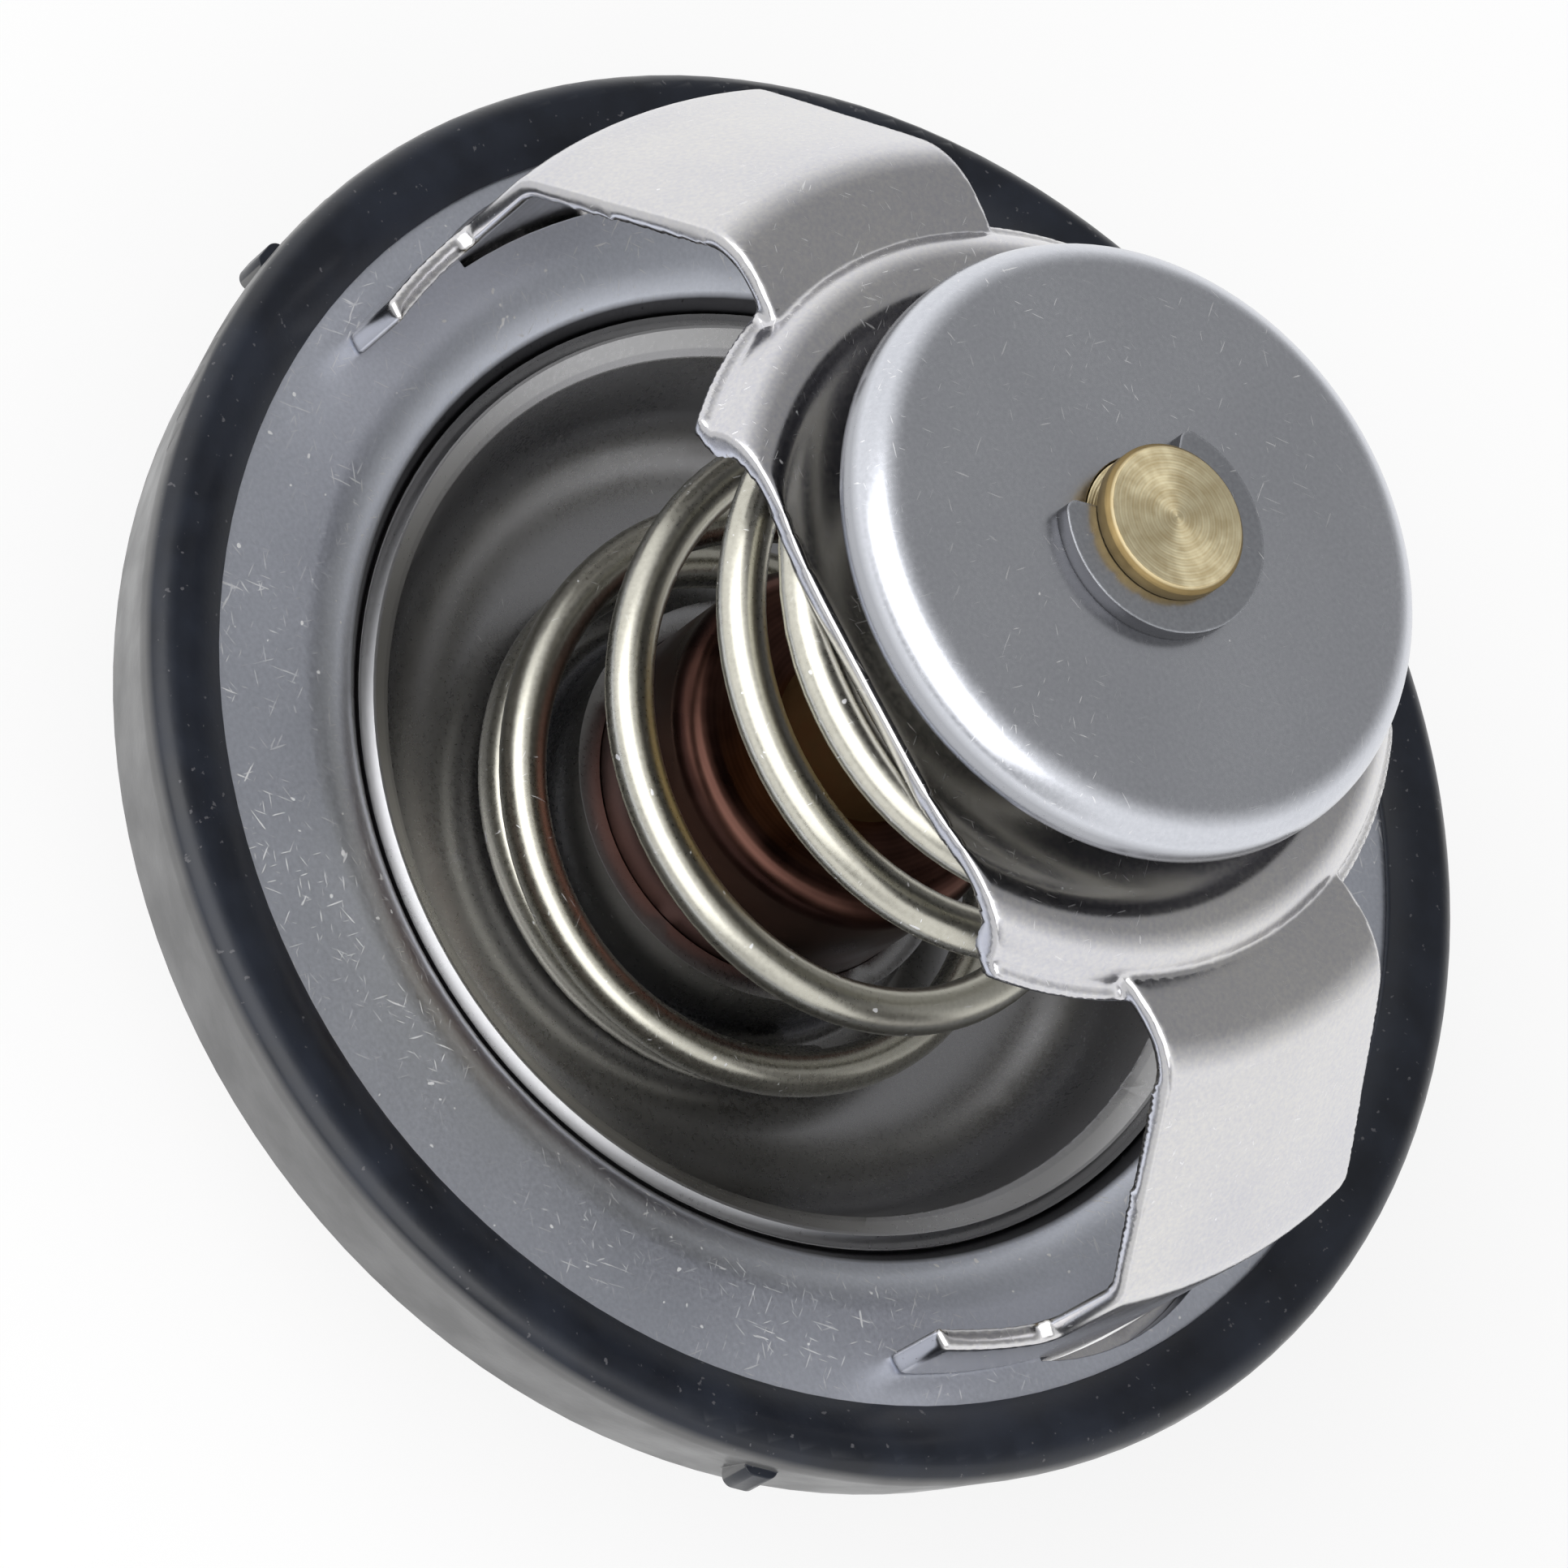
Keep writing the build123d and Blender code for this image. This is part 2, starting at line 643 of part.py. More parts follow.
# Bypass spring: a cone whose turns nest when the disc is pushed down
with BuildPart() as bypass_spring:

    def bypass_spring_height(turn):
        """Flat end turns with an even climb between them."""
        climb_turns = bypass_spring_turns - 2 * bypass_spring_flat_turns
        share = min(max((turn - bypass_spring_flat_turns) / climb_turns, 0), 1)
        return bypass_spring_foot + (bypass_spring_head - bypass_spring_foot) * share

    def bypass_spring_reach(turn):
        """Radius grows evenly from the washer to the disc."""
        growth = bypass_spring_head_radius - bypass_spring_foot_radius
        return bypass_spring_foot_radius + growth * turn / bypass_spring_turns

    with BuildLine() as bypass_line:
        Spline(*coil_points(bypass_spring_turns, bypass_spring_height, bypass_spring_reach,
                            bypass_spring_start_angle))
    with BuildSketch(Plane(origin=bypass_line.line @ 0, z_dir=bypass_line.line % 0)):
        Circle(bypass_wire / 2)
    sweep(is_frenet=True)
bypass_spring.part.label = "bypass_spring"
export_step(bypass_spring.part, "parts/bypass_spring.step")
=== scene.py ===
import bpy
from math import cos, hypot, pi, radians, sin
from mathutils import Matrix, Vector


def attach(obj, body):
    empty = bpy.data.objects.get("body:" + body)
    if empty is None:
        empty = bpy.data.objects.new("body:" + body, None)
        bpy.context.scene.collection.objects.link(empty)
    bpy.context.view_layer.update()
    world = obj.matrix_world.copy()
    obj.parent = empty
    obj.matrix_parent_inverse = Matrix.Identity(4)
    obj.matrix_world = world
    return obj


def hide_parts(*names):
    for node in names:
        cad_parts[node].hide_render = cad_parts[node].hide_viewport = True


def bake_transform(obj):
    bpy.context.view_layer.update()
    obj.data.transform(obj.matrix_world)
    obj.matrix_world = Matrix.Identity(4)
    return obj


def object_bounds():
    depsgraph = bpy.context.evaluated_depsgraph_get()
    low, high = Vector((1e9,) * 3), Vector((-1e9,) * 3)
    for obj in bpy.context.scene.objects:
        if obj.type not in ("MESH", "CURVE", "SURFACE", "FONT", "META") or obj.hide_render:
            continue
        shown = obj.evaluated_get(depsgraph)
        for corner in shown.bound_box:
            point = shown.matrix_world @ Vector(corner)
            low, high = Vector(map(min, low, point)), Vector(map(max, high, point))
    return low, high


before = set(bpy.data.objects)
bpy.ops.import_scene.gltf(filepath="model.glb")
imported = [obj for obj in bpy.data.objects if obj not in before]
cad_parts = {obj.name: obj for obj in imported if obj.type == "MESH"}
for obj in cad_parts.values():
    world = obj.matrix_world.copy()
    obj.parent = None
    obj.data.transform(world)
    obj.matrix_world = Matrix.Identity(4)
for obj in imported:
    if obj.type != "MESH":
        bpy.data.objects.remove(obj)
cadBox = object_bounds()
mm = 0.001
fullTurn = 2 * pi
sharpAngle = 32  # edges that bend more are rounded
smoothAngle = 34  # edges that bend less are shaded smooth
solidMerge = 0.0005  # points of a solid this near in mm are one


def deselectAll():
    if bpy.context.object and bpy.context.object.mode != "OBJECT":
        bpy.ops.object.mode_set(mode="OBJECT")
    bpy.ops.object.select_all(action="DESELECT")


def makeActive(piece):
    deselectAll()
    piece.select_set(True)
    bpy.context.view_layer.objects.active = piece


def applyModifiers(piece):
    makeActive(piece)
    for modifier in list(piece.modifiers):
        bpy.ops.object.modifier_apply(modifier=modifier.name)


def smoothPiece(piece, angle):
    makeActive(piece)
    bpy.ops.object.shade_smooth_by_angle(angle=radians(angle))


def tidyMesh(piece, distance):
    makeActive(piece)
    bpy.ops.object.mode_set(mode="EDIT")
    bpy.ops.mesh.select_all(action="SELECT")
    bpy.ops.mesh.remove_doubles(threshold=distance * mm)
    bpy.ops.mesh.normals_make_consistent(inside=False)
    bpy.ops.object.mode_set(mode="OBJECT")


# selects the edges whose two ends both pass the test, which gets x, y, z in mm, and stays in edit mode
def selectEdges(piece, test):
    makeActive(piece)
    bpy.ops.object.mode_set(mode="EDIT")
    bpy.ops.mesh.select_mode(type="EDGE")
    bpy.ops.mesh.select_all(action="DESELECT")
    bpy.ops.object.mode_set(mode="OBJECT")
    passed = [test(*(vertex.co / mm)) for vertex in piece.data.vertices]
    for edge in piece.data.edges:
        edge.select = all(passed[corner] for corner in edge.vertices)
    bpy.ops.object.mode_set(mode="EDIT")


def mergedCopy(node, name):
    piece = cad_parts[node].copy()
    piece.data = piece.data.copy()
    for key in list(piece.keys()):
        del piece[key]
    piece.parent = None
    piece.name = piece.data.name = name
    bpy.context.scene.collection.objects.link(piece)
    piece.data.materials.clear()
    tidyMesh(piece, solidMerge)
    return piece


# sheet with rolled edges: an even skin on the solid, smoothed and drawn back to it several times
def sheetOfNode(node, look):
    guide = mergedCopy(node, node + ".guide")
    piece = mergedCopy(node, node + ".finished")
    skin = piece.modifiers.new("skin", "REMESH")
    skin.mode = "VOXEL"
    skin.voxel_size = look["gridSize"] * mm
    applyModifiers(piece)
    for _ in range(look["rolls"]):
        relax = piece.modifiers.new("relax", "SMOOTH")
        relax.factor = 0.5
        relax.iterations = look["relaxSteps"]
        draw = piece.modifiers.new("draw", "SHRINKWRAP")
        draw.target = guide
        draw.wrap_method = "NEAREST_SURFACEPOINT"
        applyModifiers(piece)
    settle = piece.modifiers.new("settle", "SMOOTH")
    settle.factor = 0.5
    settle.iterations = look["settleSteps"]
    applyModifiers(piece)
    bpy.data.objects.remove(guide, do_unlink=True)
    return piece


# a merged copy of a solid, with its sharp edges broken by edgeRound mm
def copyOfNode(node, edgeRound, segments=2, shape=None):
    piece = mergedCopy(node, node + ".finished")
    if shape:
        shape(piece)
    if edgeRound:
        bevel = piece.modifiers.new("edgeRound", "BEVEL")
        bevel.width = edgeRound * mm
        bevel.segments = segments
        bevel.limit_method = "ANGLE"
        bevel.angle_limit = radians(sharpAngle)
        applyModifiers(piece)
    smoothPiece(piece, smoothAngle)
    flatter = piece.modifiers.new("flatter", "WEIGHTED_NORMAL")
    flatter.keep_sharp = True
    applyModifiers(piece)
    return piece


def dress(piece, material, body, slotName, *nodes):
    piece.data.materials.clear()
    piece.data.materials.append(material)
    if body:
        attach(piece, body)
    if nodes:
        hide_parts(*nodes)


def newMaterial(name):
    material = bpy.data.materials.new(name)
    material.use_nodes = True
    tree = material.node_tree
    place = tree.nodes.new("ShaderNodeTexCoord")
    return material, tree, tree.nodes["Principled BSDF"], place.outputs["Object"]


# noise from 0 to 1 once its ends are clipped; size is that of its features in mm
def noiseField(tree, place, size, detail=4, low=0.35, high=0.65, stretch=(1, 1, 1), turn=0, shift=0):
    mapping = tree.nodes.new("ShaderNodeMapping")
    mapping.vector_type = "TEXTURE"
    mapping.inputs["Scale"].default_value = [1 / part for part in stretch]
    mapping.inputs["Rotation"].default_value = (0, 0, radians(turn))
    mapping.inputs["Location"].default_value = (shift, -0.7 * shift, 0.4 * shift)
    noise = tree.nodes.new("ShaderNodeTexNoise")
    noise.inputs["Scale"].default_value = 1 / (size * mm)
    noise.inputs["Detail"].default_value = detail
    clip = tree.nodes.new("ShaderNodeMapRange")
    clip.inputs["From Min"].default_value = low
    clip.inputs["From Max"].default_value = high
    tree.links.new(place, mapping.inputs["Vector"])
    tree.links.new(mapping.outputs["Vector"], noise.inputs["Vector"])
    tree.links.new(noise.outputs["Fac"], clip.inputs["Value"])
    return clip.outputs["Result"]


def mathNode(tree, operation, first, second=None):
    node = tree.nodes.new("ShaderNodeMath")
    node.operation = operation
    for socket, value in zip(node.inputs, (first, second)):
        if value is None:
            continue
        if isinstance(value, (int, float)):
            socket.default_value = value
        else:
            tree.links.new(value, socket)
    return node.outputs[0]


def mixColours(tree, factor, dark, light):
    mix = tree.nodes.new("ShaderNodeMix")
    mix.data_type = "RGBA"
    tree.links.new(factor, mix.inputs["Factor"])
    for socket, value in ((mix.inputs["A"], dark), (mix.inputs["B"], light)):
        if isinstance(value, (tuple, list)):
            socket.default_value = (*value, 1)
        else:
            tree.links.new(value, socket)
    return mix.outputs["Result"]


def spread(tree, value, fromLow, fromHigh, low, high):
    ranged = tree.nodes.new("ShaderNodeMapRange")
    ranged.inputs["From Min"].default_value = fromLow
    ranged.inputs["From Max"].default_value = fromHigh
    ranged.inputs["To Min"].default_value = low
    ranged.inputs["To Max"].default_value = high
    tree.links.new(value, ranged.inputs["Value"])
    return ranged.outputs["Result"]


def parted(tree, vector):
    parts = tree.nodes.new("ShaderNodeSeparateXYZ")
    tree.links.new(vector, parts.inputs[0])
    return parts.outputs


def facing(tree):
    return parted(tree, tree.nodes.new("ShaderNodeNewGeometry").outputs["Normal"])


def bumpNode(tree, height, strength, distance, normal=None):
    bump = tree.nodes.new("ShaderNodeBump")
    bump.inputs["Strength"].default_value = strength
    bump.inputs["Distance"].default_value = distance * mm
    tree.links.new(height, bump.inputs["Height"])
    if normal:
        tree.links.new(normal, bump.inputs["Normal"])
    return bump.outputs["Normal"]


# short straight scratches in several directions, in loose patches
def scratchField(tree, place, look):
    field = None
    limit = look["scratchLimit"]
    for index, turn in enumerate(look["scratchTurns"]):
        streak = noiseField(tree, place, look["scratchSize"], 1, limit, limit + look["scratchEdge"],
                            stretch=look["scratchStretch"], turn=turn,
                            shift=look["seed"] + look["scratchShift"] * index)
        field = streak if field is None else mathNode(tree, "MAXIMUM", field, streak)
    patches = noiseField(tree, place, look["patchSize"], 2, *look["patchRange"], shift=look["seed"])
    return mathNode(tree, "MULTIPLY", field, spread(tree, patches, 0, 1, look["patchLow"], 1))


def steelMaterial(name, look):
    material, tree, shader, place = newMaterial(name)
    cloud = noiseField(tree, place, look["cloudSize"], 3, shift=look["seed"])
    grain = noiseField(tree, place, look["grainSize"], 3, *look["grainRange"])
    tone = mathNode(tree, "ADD", mathNode(tree, "MULTIPLY", cloud, look["cloudShare"]),
                    mathNode(tree, "MULTIPLY", grain, 1 - look["cloudShare"]))
    flecks = noiseField(tree, place, look["fleckSize"], 1, look["fleckLimit"],
                        look["fleckLimit"] + look["fleckEdge"])
    marks = mathNode(tree, "MAXIMUM", flecks, scratchField(tree, place, look))
    colour = mixColours(tree, tone, look["dark"], look["light"])
    colour = mixColours(tree, marks, colour, look["markColour"])
    if "lipColour" in look:
        # the cut lip is bare
        lipFoot = look["lipTop"] - look["lipDepth"]
        lip = spread(tree, parted(tree, place)["Z"], lipFoot * mm, (lipFoot + look["lipEdge"]) * mm, 0, 1)
        colour = mixColours(tree, lip, colour, look["lipColour"])
    if "throatShadeColour" in look:
        # painted shade in the throat, just above the valve's lip
        throatShadeTop = look["throatShadeTop"]
        throatShade = spread(tree, parted(tree, place)["Z"], (throatShadeTop - look["throatShadeEdge"]) * mm, throatShadeTop * mm, 1, 0)
        colour = mixColours(tree, throatShade, colour, look["throatShadeColour"])
    if "sideShadeColour" in look:
        # painted shade: the side under its bright edge is darkened, standing in for the dark it reflects
        side = spread(tree, facing(tree)["Z"], *look["sideShadeFade"], 1, 0)
        colour = mixColours(tree, side, colour, look["sideShadeColour"])
    if "underShadeColour" in look:
        # painted shade: faces that look down are darkened
        underShade = spread(tree, facing(tree)["Z"], *look["underShadeFade"], 0, 1)
        colour = mixColours(tree, underShade, colour, look["underShadeColour"])
    if "cutShadeColour" in look:
        # painted shade: the cut ends of the feet are darkened, and cut edges above them less so
        cutShade = spread(tree, mathNode(tree, "ABSOLUTE", facing(tree)["Y"]), *look["cutShadeFade"], 0, 1)
        footTop, footEdge = look["footTop"], look["footEdge"]
        low = spread(tree, parted(tree, place)["Z"], (footTop - footEdge) * mm, (footTop + footEdge) * mm,
                     1, look["cutShadeAbove"])
        colour = mixColours(tree, mathNode(tree, "MULTIPLY", cutShade, low), colour, look["cutShadeColour"])
    tree.links.new(colour, shader.inputs["Base Color"])
    shader.inputs["Metallic"].default_value = 1
    rough = mathNode(tree, "ADD", spread(tree, tone, 0, 1, *look["roughness"]),
                     mathNode(tree, "MULTIPLY", marks, look["markRoughness"]))
    tree.links.new(rough, shader.inputs["Roughness"])
    softened = None
    if "softEdge" in look:
        bevel = tree.nodes.new("ShaderNodeBevel")
        bevel.inputs["Radius"].default_value = look["softEdge"] * mm
        softened = bevel.outputs["Normal"]
    relief = bumpNode(tree, grain, look["grainBump"], look["grainDepth"], softened)
    relief = bumpNode(tree, marks, look["markBump"], look["markDepth"], relief)
    tree.links.new(relief, shader.inputs["Normal"])
    return material


def rubberMaterial(name, look):
    material, tree, shader, place = newMaterial(name)
    cloud = noiseField(tree, place, look["cloudSize"], 5)
    speck = noiseField(tree, place, look["speckSize"], 2, *look["speckRange"])
    colour = mixColours(tree, cloud, look["dark"], look["light"])
    colour = mixColours(tree, speck, colour, look["speckColour"])
    if "litWallColour" in look:
        # painted light: the outer wall is painted a lighter grey, standing in for light from below, but its
        # nubs are not
        flat = tree.nodes.new("ShaderNodeVectorMath")
        flat.operation = "MULTIPLY"
        flat.inputs[1].default_value = (1, 1, 0)
        reach = tree.nodes.new("ShaderNodeVectorMath")
        reach.operation = "LENGTH"
        tree.links.new(place, flat.inputs[0])
        tree.links.new(flat.outputs["Vector"], reach.inputs[0])
        wall = spread(tree, mathNode(tree, "ABSOLUTE", facing(tree)["Z"]), *look["wallFade"], 1, 0)
        radius = reach.outputs["Value"]
        wallRadius, nubRadius = look["wallRadius"], look["nubRadius"]
        outer = spread(tree, radius, wallRadius * mm, (wallRadius + look["wallEdge"]) * mm, 0, 1)
        nub = spread(tree, radius, nubRadius * mm, (nubRadius + look["nubEdge"]) * mm, 1, 0)
        wall = mathNode(tree, "MULTIPLY", mathNode(tree, "MULTIPLY", wall, outer), nub)
        darker = [look["litWallTone"] * part for part in look["litWallColour"]]
        litWall = mixColours(tree, cloud, look["litWallColour"], darker)
        colour = mixColours(tree, wall, colour, litWall)
    tree.links.new(colour, shader.inputs["Base Color"])
    shader.inputs["Specular IOR Level"].default_value = look["specular"]
    tree.links.new(spread(tree, cloud, 0, 1, *look["roughness"]), shader.inputs["Roughness"])
    grain = noiseField(tree, place, look["grainSize"], 3)
    relief = bumpNode(tree, grain, look["grainBump"], look["grainDepth"])
    tree.links.new(relief, shader.inputs["Normal"])
    return material


# metal cut on a lathe, with fine rings about the axis
def turnedMaterial(name, look):
    material, tree, shader, place = newMaterial(name)
    cloud = noiseField(tree, place, look["cloudSize"], 4)
    ringHeight = None
    for spacing, weight in look["rings"]:
        wave = tree.nodes.new("ShaderNodeTexWave")
        wave.wave_type = "RINGS"
        wave.rings_direction = "Z"
        wave.inputs["Scale"].default_value = fullTurn / (20 * spacing * mm)  # a wave runs 20 radians a unit
        wave.inputs["Distortion"].default_value = look["ringWobble"]
        wave.inputs["Detail"].default_value = 1
        tree.links.new(place, wave.inputs["Vector"])
        ring = mathNode(tree, "MULTIPLY", wave.outputs["Fac"], weight)
        ringHeight = ring if ringHeight is None else mathNode(tree, "ADD", ringHeight, ring)
    colour = mixColours(tree, mathNode(tree, "MULTIPLY", mathNode(tree, "ADD", cloud, ringHeight), 0.5),
                        look["dark"], look["light"])
    if "sideShadeColour" in look:
        # painted shade: the turned side below the bright rim is darker
        side = spread(tree, facing(tree)["Z"], *look["sideShadeFade"], 1, 0)
        colour = mixColours(tree, side, colour, look["sideShadeColour"])
    tree.links.new(colour, shader.inputs["Base Color"])
    shader.inputs["Metallic"].default_value = 1
    tree.links.new(spread(tree, cloud, 0, 1, *look["roughness"]), shader.inputs["Roughness"])
    tree.links.new(bumpNode(tree, ringHeight, look["ringBump"], look["ringDepth"]), shader.inputs["Normal"])
    shader.inputs["Anisotropic"].default_value = look["drawn"]
    around = tree.nodes.new("ShaderNodeTangent")
    around.direction_type = "RADIAL"
    around.axis = "Z"
    tree.links.new(around.outputs["Tangent"], shader.inputs["Tangent"])
    return material


# what the steel pieces share; each piece below changes some of it. Sizes are in mm, a range is where noise
# is clipped, and a fade is between two values of the face normal's Z (of its Y for a cut)
steel = {"dark": (0.60, 0.61, 0.65), "light": (0.74, 0.75, 0.79), "markColour": (0.95, 0.95, 0.96),
         "cloudSize": 9, "cloudShare": 0.35, "grainSize": 0.2, "grainRange": (0.25, 0.75),
         "fleckSize": 0.5, "fleckLimit": 0.8, "fleckEdge": 0.02,
         "scratchSize": 1.3, "scratchLimit": 0.75, "scratchEdge": 0.03, "scratchShift": 0.37,
         "scratchTurns": (12, 47, 83, 128, 160), "scratchStretch": (1, 11, 3),
         "patchSize": 8, "patchRange": (0.4, 0.62), "patchLow": 0.15, "seed": 0,
         "roughness": (0.22, 0.34), "markRoughness": 0.3,
         "grainBump": 0.03, "grainDepth": 0.01, "markBump": 0.12, "markDepth": 0.03}

# flange plate, with painted shade in the throat just above the valve's lip
flange = {**steel, "edgeRound": 0.08, "dark": (0.62, 0.65, 0.73), "light": (0.78, 0.81, 0.9),
          "throatShadeTop": -0.95, "throatShadeEdge": 0.25, "throatShadeColour": (0.05, 0.05, 0.055),
          "roughness": (0.3, 0.42), "scratchLimit": 0.712, "fleckLimit": 0.74, "seed": 1.3}
dress(copyOfNode("flange_plate", flange["edgeRound"]), steelMaterial("flangeSteel", flange), "root",
      "flange_steel", "flange_plate")

# frame over the spring, and the bridge under the flange, with painted shade on faces that look down and on cut
# faces across Y
frameLook = {**steel, "gridSize": 0.215, "rolls": 3, "relaxSteps": 2, "settleSteps": 3, "smoothAngle": 60,
             "bridgeEdgeRound": 0.12, "dark": (0.62, 0.62, 0.67), "light": (0.79, 0.775, 0.75),
             "underShadeColour": (0.2, 0.2, 0.21), "underShadeFade": (-0.5, -0.8),
             "cutShadeColour": (0.28, 0.28, 0.29), "cutShadeFade": (0.8, 0.92), "cutShadeAbove": 0.45,
             "footTop": 4.0, "footEdge": 0.1, "roughness": (0.17, 0.27), "seed": 3.1}
frameSteel = steelMaterial("frameSteel", frameLook)
cage = sheetOfNode("frame", frameLook)
smoothPiece(cage, frameLook["smoothAngle"])
print("frame rolled,", len(cage.data.polygons), "faces")
dress(cage, frameSteel, "root", "frame_steel", "frame")
dress(copyOfNode("bridge", frameLook["bridgeEdgeRound"]), frameSteel, "root", "frame_steel", "bridge")

# gasket round the flange, its outer wall painted lighter to stand in for light from below
gasket = {"edgeRound": 0.08, "dark": (0.005, 0.007, 0.013), "light": (0.011, 0.015, 0.026),
          "speckColour": (0.08, 0.08, 0.09), "speckSize": 0.35, "speckRange": (0.7, 0.73),
          "cloudSize": 3, "grainSize": 0.3, "grainBump": 0.1, "grainDepth": 0.02,
          "litWallColour": (0.15, 0.15, 0.152), "litWallTone": 0.8, "wallFade": (0.25, 0.55),
          "wallRadius": 30.6, "wallEdge": 0.1, "nubRadius": 32.02, "nubEdge": 0.05,
          "roughness": (0.28, 0.4), "specular": 0.5}
dress(copyOfNode("gasket", gasket["edgeRound"]), rubberMaterial("gasketRubber", gasket), "root",
      "gasket_rubber", "gasket")
print("fixed pieces dressed")

# valve disc, whose lip is cut off at a slant
valve = {**steel, "edgeRound": 0.05, "lipRadius": 21.38, "lipTop": -1.5, "lipNear": 0.02, "lipCut": 0.6,
         "lipDepth": 0.64, "lipEdge": 0.05, "lipColour": (0.5, 0.5, 0.51),
         "dark": (0.37, 0.37, 0.385), "light": (0.45, 0.45, 0.465),
         "roughness": (0.24, 0.34), "scratchLimit": 0.82, "fleckLimit": 0.86, "grainBump": 0, "markBump": 0,
         "seed": 5.7}


def cutLip(piece):
    selectEdges(piece, lambda x, y, z: abs(hypot(x, y) - valve["lipRadius"]) < valve["lipNear"]
                and abs(z - valve["lipTop"]) < valve["lipNear"])
    bpy.ops.mesh.bevel(offset=valve["lipCut"] * mm, segments=1)
    bpy.ops.object.mode_set(mode="OBJECT")


dress(copyOfNode("valve_disc", valve["edgeRound"], shape=cutLip), steelMaterial("valveSteel", valve), "valve",
      "valve_steel", "valve_disc")

# capsule, its guide and the stem, the brass with painted shade on its turned side; each ring pair is a spacing
# in mm and a weight
capsule = {"dark": (0.045, 0.02, 0.016), "light": (0.115, 0.056, 0.043), "cloudSize": 2.5,
           "rings": ((0.9, 0.6), (0.23, 0.4)), "ringWobble": 0.4, "ringBump": 0.2, "ringDepth": 0.01,
           "roughness": (0.26, 0.38), "drawn": 0.3}
brass = {"edgeRound": 0.04, "dark": (0.74, 0.6, 0.34), "light": (1.0, 0.92, 0.66), "cloudSize": 0.7,
         "sideShadeColour": (0.3, 0.22, 0.1), "sideShadeFade": (0.72, 0.8),
         "rings": ((0.61, 0.15), (0.23, 0.4), (0.13, 0.45)), "ringWobble": 1.4, "ringBump": 0.9,
         "ringDepth": 0.01, "roughness": (0.5, 0.6), "drawn": 0.75}
turnedBrass = turnedMaterial("turnedBrass", brass)
dress(copyOfNode("capsule_cup", 0), turnedMaterial("capsuleCopper", capsule), "valve", "capsule_copper",
      "capsule_cup")
dress(copyOfNode("capsule_guide", brass["edgeRound"]), turnedBrass, "valve", "turned_brass", "capsule_guide")
dress(copyOfNode("stem", brass["edgeRound"]), turnedBrass, "valve", "turned_brass", "stem")

# clip and washer on the stem, with painted shade on their sides
clip = {**steel, "edgeRound": 0.07, "edgeSegments": 3, "softEdge": 0.2, "washerEdgeRound": 0.06,
        "dark": (0.42, 0.43, 0.47), "light": (0.58, 0.6, 0.64),
        "sideShadeColour": (0.1, 0.1, 0.105), "sideShadeFade": (0.2, 0.4),
        "roughness": (0.18, 0.28), "seed": 11.2}
clipSteel = steelMaterial("clipSteel", clip)
dress(copyOfNode("stem_clip", clip["edgeRound"], clip["edgeSegments"]), clipSteel, "valve", "clip_steel",
      "stem_clip")
dress(copyOfNode("spring_washer", clip["washerEdgeRound"]), clipSteel, "valve", "clip_steel", "spring_washer")

# bypass disc, with painted shade on its side and its underside
bypass = {**steel, "edgeRound": 0.05, "dark": (0.605, 0.622, 0.672), "light": (0.725, 0.742, 0.795),
          "sideShadeColour": (0.42, 0.43, 0.46), "sideShadeFade": (0.2, 0.4),
          "underShadeColour": (0.1, 0.1, 0.115), "underShadeFade": (-0.15, -0.45),
          "roughness": (0.2, 0.3), "seed": 7.9}
dress(copyOfNode("bypass_disc", bypass["edgeRound"]), steelMaterial("bypassSteel", bypass), "bypass",
      "bypass_steel", "bypass_disc")

# piston
piston = {**steel, "dark": (0.6, 0.6, 0.62), "light": (0.68, 0.68, 0.7),
          "roughness": (0.12, 0.2), "seed": 13.6}
dress(copyOfNode("piston", 0), steelMaterial("pistonSteel", piston), "root", "piston_steel", "piston")
print("moving pieces dressed")

# what is hidden in the capsule keeps its solids
sleeve = {"dark": (0.02, 0.02, 0.02), "light": (0.04, 0.04, 0.04),
          "speckColour": (0.08, 0.08, 0.08), "speckSize": 0.6, "speckRange": (0.7, 0.73),
          "cloudSize": 2, "grainSize": 0.4, "grainBump": 0.1, "grainDepth": 0.02,
          "roughness": (0.5, 0.65), "specular": 0.5}
backup = {**sleeve, "dark": (0.7, 0.7, 0.68), "light": (0.8, 0.8, 0.78), "speckColour": (0.6, 0.6, 0.58),
          "roughness": (0.35, 0.45)}
wax = {**sleeve, "dark": (0.6, 0.5, 0.3), "light": (0.74, 0.64, 0.42), "speckColour": (0.5, 0.4, 0.22)}
sleeveRubber = rubberMaterial("sleeveRubber", sleeve)
backupPlastic = rubberMaterial("backupPlastic", backup)
waxMaterial = rubberMaterial("waxCharge", wax)
for node, material in {"wax_charge": waxMaterial, "rubber_sleeve": sleeveRubber,
                       "backup_washer": backupPlastic, "guide_seal": sleeveRubber}.items():
    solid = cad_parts[node]
    solid.data.materials.clear()
    solid.data.materials.append(material)

# springs; lengths in mm, angles in degrees, the rest in turns
mainSpring = {"wire": 2.05, "endRadius": 11.4, "radius": 12.4, "start": -10, "footTurns": 1.18, "turns": 4.35,
              "headTurns": 0.67, "footDraw": 0.75, "headDraw": 0.25, "gap": 0.1, "foot": -9.5, "head": 19.2}
bypassSpring = {"wire": 1.0, "footRadius": 4.7, "headRadius": 9.0, "start": 20, "turns": 3.0, "flatTurns": 0.6,
                "foot": 21.6, "head": 26.1}
wireMesh = {"pointsPerTurn": 16, "stepsPerPoint": 5, "roundness": 8, "smoothAngle": 40, "merge": 0.002}


